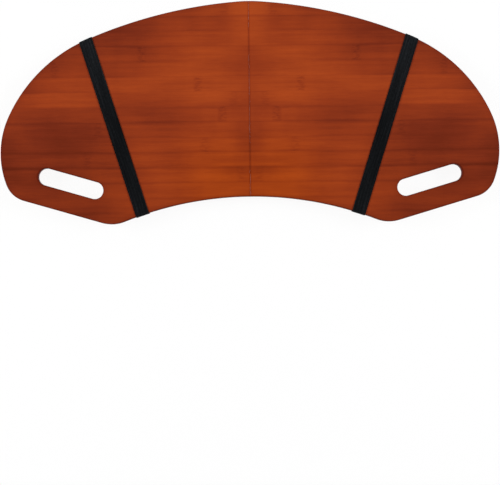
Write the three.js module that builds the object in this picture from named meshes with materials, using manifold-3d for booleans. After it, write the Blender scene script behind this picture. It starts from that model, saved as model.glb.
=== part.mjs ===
// Folding lap desk: two hinged bamboo boards with grip slots, each in a sewn elastic strap.
// Millimetres, +Z up. X runs across the desk and Y from the user's side to the far side.
// The origin is on the fold line, midway between the front and back edges, on the surface
// that the hinge barrels stand on. The desk lies open and flat, work face up.
import * as THREE from "three";
import { mergeVertices } from "three/addons/utils/BufferGeometryUtils.js";
import Module from "manifold-3d";

const wasm = await Module();
wasm.setup();

// Boards: the edge is a chain of tangent arcs from the fold line round to the fold line
const BOARD_THICKNESS = 8;
const EDGE_ROUND = 2;
const SEAM_GAP = 0.6;
const CROWN_RADIUS = 200;
const CROWN_SWEEP = 4;
const BACK_RADIUS = 695;
const BACK_SWEEP = 19;
const SHOULDER_RADIUS = 224;
const SHOULDER_SWEEP = 42.3;
const SIDE_RADIUS = 129.5;
const SIDE_SWEEP = 45.2;
const CORNER_RADIUS = 38;
const WRIST_EDGE = 119;
const WRIST_SLOPE = 16.4;
const NOSE_RADIUS = 51;
const FRONT_TURN = 21.5;

// Grip slots, parallel to the straight wrist edges and midway along them
const SLOT_LENGTH = 98;
const SLOT_WIDTH = 25;
const SLOT_WEB = 30.5;

// Elastic straps: one sewn loop round each board
const STRAP_WIDTH = 20;
const STRAP_THICKNESS = 1;
const STRAP_FIT = 0.3;
const STRAP_OFFSET = 205;
const STRAP_LEAN = 17.5;
const LAP_LENGTH = 24;
const LAP_FROM_MIDDLE = 70;
const THREAD_DIAMETER = 0.4;
const THREAD_MARGIN = 2.5;
const THREAD_SEAT = 0.05;

// Butt hinges: two identical leaves with alternating knuckles on a plain pin
const HINGE_LENGTH = 40;
const HINGE_INSET_BACK = 54;
const HINGE_INSET_FRONT = 60;
const FOLD_CLEARANCE = 0.25;
const KNUCKLES = 4;
const KNUCKLE_GAP = 0.4;
const BARREL_CLEARANCE = 0.25;
const PIN_RADIUS = 1.3;
const PIN_CLEARANCE = 0.1;
const PIN_PROUD = 0.6;
const LEAF_WIDTH = 12.5;
const LEAF_THICKNESS = 1.2;
const LEAF_CORNER = 1.5;
const LEAF_SEAT = 0.1;

// Countersunk wood screws
const SCREW_END_MARGIN = 7.5;
const SCREW_HEAD_RADIUS = 2.7;
const SCREW_SHANK_RADIUS = 1.4;
const SCREW_BITE = 5;
const SCREW_POINT = 2;
const SCREW_CLEARANCE = 0.15;
const RECESS_LENGTH = 3;
const RECESS_WIDTH = 0.8;
const RECESS_DEPTH = 0.9;

// How finely round stretches are faceted
const CHORD_ERROR = 0.1;
const EDGE_STEPS = 2;
const ROUND_SIDES = 24;
const SCREW_SIDES = 16;

// The hinge axis hangs so far below the boards that the folded straps and seams stay apart,
// and the barrel fills that drop up to its own clearance under the boards
const STRAP_STACK = STRAP_FIT + 2 * STRAP_THICKNESS + THREAD_SEAT + THREAD_DIAMETER;
const AXIS_DROP = STRAP_STACK + FOLD_CLEARANCE;
const BARREL_RADIUS = AXIS_DROP - BARREL_CLEARANCE;

// Levels: the barrels stand on z = 0
const AXIS_Z = BARREL_RADIUS;
const UNDERSIDE_Z = AXIS_Z + AXIS_DROP;
const BOARD_MIDDLE_Z = UNDERSIDE_Z + BOARD_THICKNESS / 2;
const LEAF_FACE_DROP = LEAF_SEAT + LEAF_THICKNESS;
const LAP_Z = UNDERSIDE_Z - STRAP_FIT - 2 * STRAP_THICKNESS;

// Screws stand midway between the barrel's room and the leaf's outer edge
const BARREL_ROOM = BARREL_RADIUS + KNUCKLE_GAP;
const SCREW_FROM_AXIS = (BARREL_ROOM + LEAF_WIDTH) / 2;
const SCREW_SPACING = HINGE_LENGTH - 2 * SCREW_END_MARGIN;
const SCREW_PLACES = [SCREW_SPACING / 2, -SCREW_SPACING / 2];

const FINISH = {
  board: new THREE.MeshStandardMaterial({ color: 0x96401f, roughness: 0.32, metalness: 0 }),
  strap: new THREE.MeshStandardMaterial({ color: 0x141617, roughness: 0.9, metalness: 0 }),
  thread: new THREE.MeshStandardMaterial({ color: 0x1c1e20, roughness: 0.8, metalness: 0 }),
  nickel: new THREE.MeshStandardMaterial({ color: 0xb9b4ae, roughness: 0.3, metalness: 1 }),
  screw: new THREE.MeshStandardMaterial({ color: 0xd2cdc6, roughness: 0.25, metalness: 1 }),
};

const radians = THREE.MathUtils.degToRad;

// Conversion between three.js geometry and solids that can be joined and cut
function solid(geometry) {
  const bare = new THREE.BufferGeometry();
  bare.setAttribute("position", geometry.getAttribute("position"));
  bare.setIndex(geometry.getIndex());
  const merged = mergeVertices(bare, 1e-4);
  const vertProperties = new Float32Array(merged.getAttribute("position").array);
  const triVerts = new Uint32Array(merged.getIndex().array);
  return new wasm.Manifold(new wasm.Mesh({ numProp: 3, vertProperties, triVerts }));
}

function geometryOf(body) {
  const { vertProperties, triVerts } = body.getMesh();
  const geometry = new THREE.BufferGeometry();
  geometry.setAttribute("position", new THREE.BufferAttribute(vertProperties, 3));
  geometry.setIndex(new THREE.BufferAttribute(triVerts, 1));
  geometry.computeVertexNormals();
  return geometry;
}

function box(width, depth, height, x, y, z) {
  return solid(new THREE.BoxGeometry(width, depth, height).translate(x, y, z));
}

function mirrored(body) {
  return body.mirror([1, 0, 0]);
}

function piece(name, body, material) {
  const mesh = new THREE.Mesh(geometryOf(body), material);
  mesh.name = name;
  return mesh;
}

// Points along an arc, close enough that no chord leaves it by more than CHORD_ERROR
function arcPoints(centre, radius, from, to) {
  const widest = 2 * Math.acos(1 - CHORD_ERROR / radius);
  const steps = Math.max(2, Math.ceil(Math.abs(to - from) / widest));
  return Array.from({ length: steps + 1 }, (_, i) => {
    const angle = from + ((to - from) * i) / steps;
    return new THREE.Vector2(Math.cos(angle), Math.sin(angle)).multiplyScalar(radius).add(centre);
  });
}

// A walk along the board's edge: arcs turn right for a positive turn, lines go straight on
class EdgeWalk {
  constructor(start) {
    this.points = [start];
    this.heading = 0;
  }

  get place() {
    return this.points[this.points.length - 1];
  }

  get left() {
    return new THREE.Vector2(-Math.sin(this.heading), Math.cos(this.heading));
  }

  arc(radius, turn) {
    const side = Math.sign(turn);
    const centre = this.place.clone().addScaledVector(this.left, -side * radius);
    const from = this.heading + (side * Math.PI) / 2;
    this.points.push(...arcPoints(centre, radius, from, from - turn).slice(1));
    this.heading -= turn;
  }

  line(length) {
    const ahead = new THREE.Vector2(Math.cos(this.heading), Math.sin(this.heading));
    this.points.push(this.place.clone().addScaledVector(ahead, length));
  }
}

// The right-hand board's edge, from the back end of the fold line to its front end.
// The corner turns as far as the wrist edge's slope needs, and the front arc meets the
// fold line square, so the edge closes whatever the other sizes are.
function boardEdge() {
  const foldX = SEAM_GAP / 2;
  const walk = new EdgeWalk(new THREE.Vector2(foldX, 0));
  walk.arc(CROWN_RADIUS, radians(CROWN_SWEEP));
  walk.arc(BACK_RADIUS, radians(BACK_SWEEP));
  walk.arc(SHOULDER_RADIUS, radians(SHOULDER_SWEEP));
  walk.arc(SIDE_RADIUS, radians(SIDE_SWEEP));
  walk.arc(CORNER_RADIUS, Math.PI - radians(WRIST_SLOPE) + walk.heading);
  const wristStart = walk.place;
  walk.line(WRIST_EDGE);
  const wristMiddle = wristStart.clone().lerp(walk.place, 0.5);
  walk.arc(NOSE_RADIUS, radians(WRIST_SLOPE + FRONT_TURN));
  const frontRadius = (walk.place.x - foldX) / Math.sin(radians(FRONT_TURN));
  walk.arc(frontRadius, -radians(FRONT_TURN));
  const frontmost = Math.min(...walk.points.map((point) => point.y));
  const toMiddle = new THREE.Vector2(0, -frontmost / 2);
  walk.points.forEach((point) => point.add(toMiddle));
  wristMiddle.add(toMiddle);
  return { points: walk.points, wristMiddle };
}

const EDGE = boardEdge();
const SEAM_BACK = EDGE.points[0];
const SEAM_FRONT = EDGE.points[EDGE.points.length - 1];
const FAR = 4 * (SEAM_BACK.y - SEAM_FRONT.y);

const HINGES = [
  { name: "back_hinge", y: SEAM_BACK.y - HINGE_INSET_BACK },
  { name: "front_hinge", y: SEAM_FRONT.y + HINGE_INSET_FRONT },
];

// The grip slot's outline, set in from the wrist edge by the web between them
function slotPath() {
  const slope = radians(WRIST_SLOPE);
  const outward = new THREE.Vector2(Math.cos(slope), Math.sin(slope));
  const inward = new THREE.Vector2(-outward.y, outward.x);
  const radius = SLOT_WIDTH / 2;
  const centre = EDGE.wristMiddle.clone().addScaledVector(inward, SLOT_WEB + radius);
  const reach = SLOT_LENGTH / 2 - radius;
  const outerEnd = centre.clone().addScaledVector(outward, reach);
  const innerEnd = centre.clone().addScaledVector(outward, -reach);
  return new THREE.Path([
    ...arcPoints(outerEnd, radius, slope - Math.PI / 2, slope + Math.PI / 2),
    ...arcPoints(innerEnd, radius, slope + Math.PI / 2, slope + (3 * Math.PI) / 2),
  ]);
}

// The right-hand board's form with rounded edges, grown by a distance on all sides.
// It runs past the fold line, so that the rounding stays off the square edge there.
function boardForm(growth, holes) {
  const past = -2 * (EDGE_ROUND + growth);
  const shape = new THREE.Shape([
    new THREE.Vector2(past, SEAM_BACK.y),
    ...EDGE.points,
    new THREE.Vector2(past, SEAM_FRONT.y),
  ]);
  shape.holes.push(...holes);
  const straight = BOARD_THICKNESS - 2 * EDGE_ROUND;
  const geometry = new THREE.ExtrudeGeometry(shape, {
    depth: straight,
    bevelEnabled: true,
    bevelThickness: EDGE_ROUND + growth,
    bevelSize: EDGE_ROUND + growth,
    bevelOffset: -EDGE_ROUND,
    bevelSegments: EDGE_STEPS,
  });
  return solid(geometry.translate(0, 0, BOARD_MIDDLE_Z - straight / 2));
}

// A countersunk screw's form, head down and point up, with the head's face at z = 0
function screwForm(clearance) {
  const coneHeight = SCREW_HEAD_RADIUS - SCREW_SHANK_RADIUS;
  const tip = LEAF_FACE_DROP + SCREW_BITE;
  const stem = [
    [SCREW_HEAD_RADIUS + clearance, 0],
    [SCREW_SHANK_RADIUS + clearance, coneHeight],
    [SCREW_SHANK_RADIUS + clearance, tip - SCREW_POINT],
    [0, tip + clearance],
  ];
  const mouth = [[0, -clearance], [SCREW_HEAD_RADIUS + clearance, -clearance]];
  const outline = clearance > 0 ? [...mouth, ...stem] : [[0, 0], ...stem];
  const profile = outline.map(([radius, height]) => new THREE.Vector2(radius, height));
  return solid(new THREE.LatheGeometry(profile, SCREW_SIDES).rotateX(Math.PI / 2));
}

function screw() {
  const across = box(RECESS_LENGTH, RECESS_WIDTH, 2 * RECESS_DEPTH, 0, 0, 0);
  const along = box(RECESS_WIDTH, RECESS_LENGTH, 2 * RECESS_DEPTH, 0, 0, 0);
  return screwForm(0).subtract(across.add(along));
}

// The flat of a hinge leaf on the +X side, with rounded outer corners
function leafPlate() {
  const half = HINGE_LENGTH / 2;
  const cornerX = LEAF_WIDTH - LEAF_CORNER;
  const cornerY = half - LEAF_CORNER;
  const outline = new THREE.Shape([
    new THREE.Vector2(0, -half),
    ...arcPoints(new THREE.Vector2(cornerX, -cornerY), LEAF_CORNER, -Math.PI / 2, 0),
    ...arcPoints(new THREE.Vector2(cornerX, cornerY), LEAF_CORNER, 0, Math.PI / 2),
    new THREE.Vector2(0, half),
  ]);
  const plate = new THREE.ExtrudeGeometry(outline, { depth: LEAF_THICKNESS, bevelEnabled: false });
  return solid(plate.translate(0, 0, AXIS_DROP - LEAF_FACE_DROP));
}

// A leaf on the +X side with its axis along Y through the origin.
// It owns every second knuckle, counted from the back; ownFirst says if the first is its own.
function hingeLeaf(ownFirst) {
  let leaf = leafPlate();
  const pitch = HINGE_LENGTH / KNUCKLES;
  for (let i = 0; i < KNUCKLES; i += 1) {
    const middle = HINGE_LENGTH / 2 - (i + 0.5) * pitch;
    const own = (i % 2 === 0) === ownFirst;
    if (own) {
      const length = pitch - KNUCKLE_GAP;
      const barrel = new THREE.CylinderGeometry(BARREL_RADIUS, BARREL_RADIUS, length, ROUND_SIDES);
      leaf = leaf.add(solid(barrel.translate(0, middle, 0)));
    } else {
      leaf = leaf.subtract(box(2 * BARREL_ROOM, pitch + KNUCKLE_GAP, 4 * AXIS_DROP, 0, middle, 0));
    }
  }
  const bore = PIN_RADIUS + PIN_CLEARANCE;
  leaf = leaf.subtract(solid(new THREE.CylinderGeometry(bore, bore, 2 * HINGE_LENGTH, ROUND_SIDES)));
  const hole = screwForm(SCREW_CLEARANCE);
  SCREW_PLACES.forEach((y) => {
    leaf = leaf.subtract(hole.translate([SCREW_FROM_AXIS, y, AXIS_DROP - LEAF_FACE_DROP]));
  });
  return leaf;
}

// A plain pin whose ends are peened to a slight cone
function hingePin() {
  const half = HINGE_LENGTH / 2;
  const tipRadius = PIN_RADIUS - PIN_PROUD / 2;
  const profile = [
    [0, -half - PIN_PROUD],
    [tipRadius, -half - PIN_PROUD],
    [PIN_RADIUS, -half],
    [PIN_RADIUS, half],
    [tipRadius, half + PIN_PROUD],
    [0, half + PIN_PROUD],
  ].map(([radius, y]) => new THREE.Vector2(radius, y));
  return solid(new THREE.LatheGeometry(profile, ROUND_SIDES));
}

// Right-hand pieces; the left-hand ones are their mirror images in the fold plane
function boardPiece() {
  const beyondFold = box(FAR, FAR, FAR, (SEAM_GAP - FAR) / 2, 0, 0);
  let board = boardForm(0, [slotPath()]).subtract(beyondFold);
  const pilot = screwForm(SCREW_CLEARANCE);
  HINGES.forEach((hinge) => SCREW_PLACES.forEach((y) => {
    const place = [SCREW_FROM_AXIS, hinge.y + y, UNDERSIDE_Z - LEAF_FACE_DROP];
    board = board.subtract(pilot.translate(place));
  }));
  return board;
}

// A point on the strap's middle line, a distance towards the back from the desk's middle
function strapPlace(along) {
  const lean = radians(STRAP_LEAN);
  return new THREE.Vector2(STRAP_OFFSET + Math.sin(lean) * along, Math.cos(lean) * along);
}

// A closed loop that follows the board's edges, with its ends lapped on the underside
function strapPiece() {
  const lean = -radians(STRAP_LEAN);
  const band = new THREE.BoxGeometry(STRAP_WIDTH, FAR, FAR).rotateZ(lean);
  const shell = boardForm(STRAP_FIT + STRAP_THICKNESS, []).subtract(boardForm(STRAP_FIT, []));
  const loop = shell.intersect(solid(band.translate(STRAP_OFFSET, 0, 0)));
  const lapHeight = 1.5 * STRAP_THICKNESS;
  const lap = new THREE.BoxGeometry(STRAP_WIDTH, LAP_LENGTH, lapHeight).rotateZ(lean);
  const place = strapPlace(-LAP_FROM_MIDDLE);
  return loop.add(solid(lap.translate(place.x, place.y, LAP_Z + lapHeight / 2)));
}

// The seam of the lap: a sewn box with a cross in it, one thread wide, under the lap.
// Each row of the cross is sunk a little deeper into the webbing than the row sewn after it.
function threadPiece() {
  const width = STRAP_WIDTH - 2 * THREAD_MARGIN;
  const length = LAP_LENGTH - 2 * THREAD_MARGIN;
  const thread = THREAD_DIAMETER;
  const inside = box(width - 2 * thread, length - 2 * thread, 2 * thread, 0, 0, 0);
  const frame = box(width, length, thread, 0, 0, 0).subtract(inside);
  const turn = Math.atan2(width, length);
  const reach = Math.hypot(width, length) - 1.5 * thread;
  const row = (height, angle) => solid(new THREE.BoxGeometry(thread, reach, height).rotateZ(angle));
  const seam = frame.add(row(0.8 * thread, turn)).add(row(0.6 * thread, -turn));
  const place = strapPlace(-LAP_FROM_MIDDLE);
  const z = LAP_Z - THREAD_SEAT - thread / 2;
  return seam.rotate([0, 0, -STRAP_LEAN]).translate([place.x, place.y, z]);
}

// One half of the desk; left is the half at -X
function halfOf(side, toSide) {
  const half = new THREE.Group();
  half.name = `${side}_half`;
  half.add(piece(`${side}_board`, toSide(boardPiece()), FINISH.board));
  half.add(piece(`${side}_strap`, toSide(strapPiece()), FINISH.strap));
  half.add(piece(`${side}_strap_thread`, toSide(threadPiece()), FINISH.thread));
  return half;
}

function hingeOf({ name, y }) {
  const hinge = new THREE.Group();
  hinge.name = name;
  hinge.position.set(0, y, AXIS_Z);
  hinge.add(piece(`${name}_left_leaf`, mirrored(hingeLeaf(true)), FINISH.nickel));
  hinge.add(piece(`${name}_right_leaf`, hingeLeaf(false), FINISH.nickel));
  hinge.add(piece(`${name}_pin`, hingePin(), FINISH.nickel));
  const sides = { left: -SCREW_FROM_AXIS, right: SCREW_FROM_AXIS };
  Object.entries(sides).forEach(([side, x]) => SCREW_PLACES.forEach((place, i) => {
    const mesh = piece(`${name}_${side}_screw_${i + 1}`, screw(), FINISH.screw);
    mesh.position.set(x, place, AXIS_DROP - LEAF_FACE_DROP);
    hinge.add(mesh);
  }));
  return hinge;
}

const desk = new THREE.Group();
desk.name = "lap_desk";
desk.add(halfOf("left", mirrored));
desk.add(halfOf("right", (body) => body));
HINGES.forEach((hinge) => desk.add(hingeOf(hinge)));

export default desk;
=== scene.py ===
# %% [markdown]
# # A folding lap desk
# The real desk is two stained bamboo boards that fold together on a pair of small butt hinges,
# each board wearing a loop of black elastic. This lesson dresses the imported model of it: the
# solids give every piece its place, and each cell below builds one finished piece in that place.
# Loading the solids first, rather than modelling from nothing, keeps the sizes and the motion true.

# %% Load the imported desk
import math

import bmesh
import bpy
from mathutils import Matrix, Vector
from mathutils.geometry import tessellate_polygon


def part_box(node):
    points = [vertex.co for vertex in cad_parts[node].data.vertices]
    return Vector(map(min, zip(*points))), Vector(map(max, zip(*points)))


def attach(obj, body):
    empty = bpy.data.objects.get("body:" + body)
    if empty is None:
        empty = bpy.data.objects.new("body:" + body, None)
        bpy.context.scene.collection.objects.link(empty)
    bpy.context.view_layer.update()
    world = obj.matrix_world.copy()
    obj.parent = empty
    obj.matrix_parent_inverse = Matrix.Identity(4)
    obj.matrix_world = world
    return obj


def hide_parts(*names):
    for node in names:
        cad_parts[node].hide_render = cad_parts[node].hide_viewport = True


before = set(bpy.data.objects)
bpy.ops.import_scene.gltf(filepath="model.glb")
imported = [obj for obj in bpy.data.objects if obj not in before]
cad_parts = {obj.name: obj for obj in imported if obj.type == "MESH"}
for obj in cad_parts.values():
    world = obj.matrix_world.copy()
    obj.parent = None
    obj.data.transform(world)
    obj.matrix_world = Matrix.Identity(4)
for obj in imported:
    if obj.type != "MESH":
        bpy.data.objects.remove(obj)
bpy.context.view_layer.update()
scene = bpy.context.scene
MM = 0.001

# %% [markdown]
# ## Where the boards lie
# The desk lies open with the work face up. Its upper and lower faces and the back end of the fold
# line set the level of everything else. They could be typed in, but the loaded solids already
# know them, so they are read from the right-hand board's box.

# %% Levels of the boards
board_low, board_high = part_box("right_board")
UNDERSIDE = board_low.z
WORK_FACE = board_high.z
BOARD_MIDDLE = (UNDERSIDE + WORK_FACE) / 2
CROWN = board_high.y
SIDES = {"left": -1, "right": 1}
print("underside at", round(UNDERSIDE / MM, 2), "mm, work face at", round(WORK_FACE / MM, 2), "mm")

# %% [markdown]
# ## The camera
# The picture looks straight down on the open desk, which fills the upper part of the frame and is
# turned by little more than half a degree. A lens shift could push the desk up in the frame, but
# then every other view would be shifted too. Here the camera hangs over a point in front of the desk,
# so the framing comes from its place alone. The lens follows from how far the camera hangs.

# %% Hang the camera
PICTURE_WIDTH = 500
PICTURE_HEIGHT = 485
PIXEL = 1.468 * MM
CROWN_ACROSS = 248.35
CROWN_DOWN = 1.58
PICTURE_TILT = math.radians(0.62)
CAMERA_RISE = 0.88


def put_in_scene(name, data):
    """A new object at the origin that shows the given mesh, lamp or camera."""
    thing = bpy.data.objects.new(name, data)
    scene.collection.objects.link(thing)
    return thing


to_right = Vector((math.cos(PICTURE_TILT), -math.sin(PICTURE_TILT), 0))
to_front = Vector((-math.sin(PICTURE_TILT), -math.cos(PICTURE_TILT), 0))
aim = Vector((0, CROWN, BOARD_MIDDLE))
aim += PIXEL * (PICTURE_WIDTH / 2 - CROWN_ACROSS) * to_right
aim += PIXEL * (PICTURE_HEIGHT / 2 - CROWN_DOWN) * to_front

camera = put_in_scene("camera", bpy.data.cameras.new("camera"))
camera.location = aim + Vector((0, 0, CAMERA_RISE))
camera.rotation_euler = (0, 0, -PICTURE_TILT)
camera.data.lens = camera.data.sensor_width * CAMERA_RISE / PIXEL / PICTURE_WIDTH
scene.camera = camera
print("lens", round(camera.data.lens, 1), "mm")

# %% [markdown]
# ## Building node trees
# Every finish below is a tree of shader nodes. They could be drawn by hand in the shader editor;
# in a script a few small helpers keep that short. One puts a node into a tree and fills its inputs
# with values or links, and the others do sums and soft steps between sockets.

# %% Helpers for node trees
def fill_input(tree, socket, value):
    if isinstance(value, bpy.types.NodeSocket):
        tree.links.new(value, socket)
    else:
        socket.default_value = value


def put(tree, kind, inputs=None, **settings):
    """A new node, with its settings made and its inputs filled by name or number."""
    node = tree.nodes.new(kind)
    for name, value in settings.items():
        setattr(node, name, value)
    for key, value in (inputs or {}).items():
        fill_input(tree, node.inputs[key], value)
    return node


def calc(tree, operation, *values):
    """The result of a sum on sockets or numbers."""
    node = put(tree, "ShaderNodeMath", dict(enumerate(values)), operation=operation)
    return node.outputs[0]


def fade(tree, value, start, end, low=0.0, high=1.0):
    """A smooth step of the value: low before start, high after end."""
    inputs = {"Value": value, "From Min": start, "From Max": end, "To Min": low, "To Max": high}
    node = put(tree, "ShaderNodeMapRange", inputs, interpolation_type="SMOOTHSTEP")
    return node.outputs["Result"]


def blank_material(name):
    material = bpy.data.materials.new(name)
    material.use_nodes = True
    material.node_tree.nodes.clear()
    return material


print("node helpers ready")

# %% [markdown]
# ## Floor and light
# The desk is shown on plain white, as on a light table: a sheet that lets most of the white below it
# through and catches a faint shadow. A solid white floor would do for one view, but it would hide
# the hinges when the desk is looked at from below, so from that side the sheet is clear. It lies as
# low as the folded desk reaches and cuts through nothing when the right half swings under the left.

# %% Light table
TABLE_SIZE = 12
TABLE_LEVEL = -9.6 * MM
SHADOW_SHARE = 0.07


def light_table():
    material = blank_material("light_table")
    tree = material.node_tree
    sheet = put(tree, "ShaderNodeBsdfDiffuse", {"Color": (1, 1, 1, 1)})
    glow = put(tree, "ShaderNodeBsdfTransparent", {"Color": (1, 1, 1, 1)})
    from_below = put(tree, "ShaderNodeNewGeometry").outputs["Backfacing"]
    share = calc(tree, "MULTIPLY_ADD", from_below, -SHADOW_SHARE, SHADOW_SHARE)
    mix = put(tree, "ShaderNodeMixShader", {0: share, 1: glow.outputs[0], 2: sheet.outputs[0]})
    put(tree, "ShaderNodeOutputMaterial", {"Surface": mix.outputs[0]})
    return material


table_shape = bmesh.new()
bmesh.ops.create_grid(table_shape, x_segments=1, y_segments=1, size=TABLE_SIZE / 2)
bmesh.ops.translate(table_shape, verts=table_shape.verts, vec=(0, 0, TABLE_LEVEL))
table_mesh = bpy.data.meshes.new("floor")
table_shape.to_mesh(table_mesh)
table_shape.free()
table_mesh.materials.append(light_table())
floor = put_in_scene("floor", table_mesh)
print("light table", TABLE_SIZE, "m wide at", round(TABLE_LEVEL / MM, 1), "mm")

# %% [markdown]
# Large soft lamps light the desk from both sides, under a sky that is brighter at the horizon than
# overhead. A lamp overhead would be simpler, but the camera looks straight down and would see it
# mirrored in the lacquer as a pale veil over the red. For the same reason mirrored rays pass the
# lamps by, so the gloss shows the soft sky alone and no view is bleached by a lamp. Below the
# horizon is the light table's plain white glow, and the camera sees that same white wherever it
# looks past the desk.

# %% Soft lamps and sky
LAMP_SIZE = 1.2
LAMP_POWER = 63
LAMP_OUT = 2.4
LAMP_BACK = 0.25
LAMP_HEIGHT = 1.35
SKY_OVERHEAD = 0.04
SKY_HORIZON = 0.55
SKY_FADE = (0.35, 0.9)


def soft_lamp(name, place):
    data = bpy.data.lights.new(name, "AREA")
    data.shape = "SQUARE"
    data.size = LAMP_SIZE
    data.energy = LAMP_POWER
    lamp = put_in_scene(name, data)
    lamp.location = place
    lamp.visible_glossy = False
    lamp.rotation_euler = (-Vector(place)).to_track_quat("-Z", "Y").to_euler()


for side, sign in SIDES.items():
    soft_lamp(side + "_lamp", (sign * LAMP_OUT, LAMP_BACK, LAMP_HEIGHT))


def soft_sky():
    world = bpy.data.worlds.new("soft_sky")
    world.use_nodes = True
    tree = world.node_tree
    tree.nodes.clear()
    direction = put(tree, "ShaderNodeTexCoord").outputs["Generated"]
    height = put(tree, "ShaderNodeSeparateXYZ", {0: direction}).outputs["Z"]
    strength = fade(tree, height, *SKY_FADE, SKY_HORIZON, SKY_OVERHEAD)
    path = put(tree, "ShaderNodeLightPath").outputs
    seen = calc(tree, "MAXIMUM", path["Is Camera Ray"], path["Is Transmission Ray"])
    white = calc(tree, "MAXIMUM", seen, calc(tree, "LESS_THAN", height, 0.0))
    strength = calc(tree, "MAXIMUM", strength, white)
    sky = put(tree, "ShaderNodeBackground", {"Color": (1, 1, 1, 1), "Strength": strength})
    put(tree, "ShaderNodeOutputWorld", {"Surface": sky.outputs[0]})
    return world


scene.world = soft_sky()
scene.view_settings.view_transform = "Standard"
print("lamps of", LAMP_POWER, "W, sky from", SKY_OVERHEAD, "to", SKY_HORIZON)

# %% [markdown]
# ## Shared effects
# Three effects return in several finishes, so each is built once as a node group. Fine variation
# is a noise brought into a range, for gloss that is never quite even. A soft patch is an oval
# that fades out, for clouds in the stain. Hairlines are scratches that all run one way, for metal.

# %% Node groups
NOISE_SPAN = (0.3, 0.7)
PATCH_CORE = 0.15


def new_group(name, inputs, outputs):
    """An empty shader group with float or vector inputs and float outputs."""
    group = bpy.data.node_groups.new(name, "ShaderNodeTree")
    for title, value in inputs.items():
        kind = "NodeSocketVector" if value is None else "NodeSocketFloat"
        socket = group.interface.new_socket(title, in_out="INPUT", socket_type=kind)
        if value is not None:
            socket.default_value = value
    for title in outputs:
        group.interface.new_socket(title, in_out="OUTPUT", socket_type="NodeSocketFloat")
    return group, put(group, "NodeGroupInput").outputs, put(group, "NodeGroupOutput").inputs


def fine_variation():
    inputs = {"Vector": None, "Scale": 100.0, "Low": 0.0, "High": 1.0}
    group, given, result = new_group("fine_variation", inputs, ["Value"])
    noise = put(group, "ShaderNodeTexNoise", {
        "Vector": given["Vector"], "Scale": given["Scale"], "Detail": 4.0, "Roughness": 0.6})
    value = fade(group, noise.outputs["Fac"], *NOISE_SPAN, given["Low"], given["High"])
    group.links.new(value, result["Value"])
    return group


def soft_patch():
    inputs = {"Along": 0.0, "Across": 0.0, "Centre along": 0.0, "Centre across": 0.0,
              "Half length": 0.01, "Half height": 0.01, "Strength": 1.0}
    group, given, result = new_group("soft_patch", inputs, ["Value"])
    reach = []
    for way, half in (("Along", "Half length"), ("Across", "Half height")):
        offset = calc(group, "SUBTRACT", given[way], given["Centre " + way.lower()])
        share = calc(group, "DIVIDE", offset, given[half])
        reach.append(calc(group, "MULTIPLY", share, share))
    distance = calc(group, "SQRT", calc(group, "ADD", *reach))
    value = fade(group, distance, 1.0, PATCH_CORE, 0.0, given["Strength"])
    group.links.new(value, result["Value"])
    return group


def hairlines():
    inputs = {"Vector": None, "Stretch": 40.0, "Fineness": 3000.0}
    group, given, result = new_group("hairlines", inputs, ["Value"])
    split = put(group, "ShaderNodeSeparateXYZ", {0: given["Vector"]}).outputs
    lines = put(group, "ShaderNodeCombineXYZ", {
        "X": calc(group, "MULTIPLY", split["X"], given["Fineness"]),
        "Y": calc(group, "MULTIPLY", split["Y"], given["Stretch"]),
        "Z": calc(group, "MULTIPLY", split["Z"], given["Fineness"])})
    noise = put(group, "ShaderNodeTexNoise", {
        "Vector": lines.outputs[0], "Scale": 1.0, "Detail": 3.0})
    group.links.new(noise.outputs["Fac"], result["Value"])
    return group


FINE_VARIATION = fine_variation()
SOFT_PATCH = soft_patch()
HAIRLINES = hairlines()


def use_group(tree, group, inputs):
    return put(tree, "ShaderNodeGroup", inputs, node_tree=group).outputs["Value"]


print("groups:", [group.name for group in (FINE_VARIATION, SOFT_PATCH, HAIRLINES)])

# %% [markdown]
# ## Stained bamboo: strips and fibres
# The boards are glued up from bamboo strips about 22 mm wide that run across the desk, and the
# two halves mirror each other at the fold. A photo could be wrapped on, but a tree of noises stays
# sharp at any distance. One group tells the strip, the nearest glue joint and the fibres at each
# point. It reads the distance from the fold line, so that both halves get the mirrored pattern.

# %% Noise helpers
def vector_of(tree, x, y, z=0.0):
    return put(tree, "ShaderNodeCombineXYZ", {"X": x, "Y": y, "Z": z}).outputs[0]


def stretched_noise(tree, along, along_scale, across, across_scale, depth=0.0, detail=2.0):
    """A noise of 0 to 1 with a scale of its own in each direction."""
    along = calc(tree, "MULTIPLY", along, along_scale)
    across = calc(tree, "MULTIPLY", across, across_scale)
    place = vector_of(tree, along, across, depth)
    inputs = {"Vector": place, "Scale": 1.0, "Detail": detail, "Roughness": 0.55}
    return put(tree, "ShaderNodeTexNoise", inputs).outputs["Fac"]


def around_zero(tree, value, reach):
    """A noise of 0 to 1 brought to minus reach to plus reach."""
    return calc(tree, "MULTIPLY", calc(tree, "SUBTRACT", value, 0.5), 2 * reach)


def chance_of(tree, number):
    """A random value of 0 to 1 that belongs to a whole number."""
    node = put(tree, "ShaderNodeTexWhiteNoise", {"W": number}, noise_dimensions="1D")
    return node.outputs["Value"]


print("noise helpers ready")

# %% Strips, joints and fibres
STRIP_WIDTH = 22.1 * MM
FIRST_JOINT = 96.3 * MM
JOINT_FADE = 3.8 * MM
JOINT_WANDER = 0.9 * MM
FAINTEST_JOINT = 0.35
GLUE_LINE = 0.35 * MM
GLUE_WEIGHT = 0.35
STRIP_TINT = 0.06
STRIP_DRIFT = 0.23
STEP_SHARE = 0.34
PORE_SPAN = (0.55, 0.70)
# a soft step: start, end, value before and value after
JOINT_ALONG = (0.3, 0.65, 0.25, 1.3)
# the lower face is cut from other canes: it is shifted both ways and counts other strips
LOWER_ALONG = 0.43
LOWER_ACROSS = 0.4 * STRIP_WIDTH
LOWER_STRIPS = 40


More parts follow.
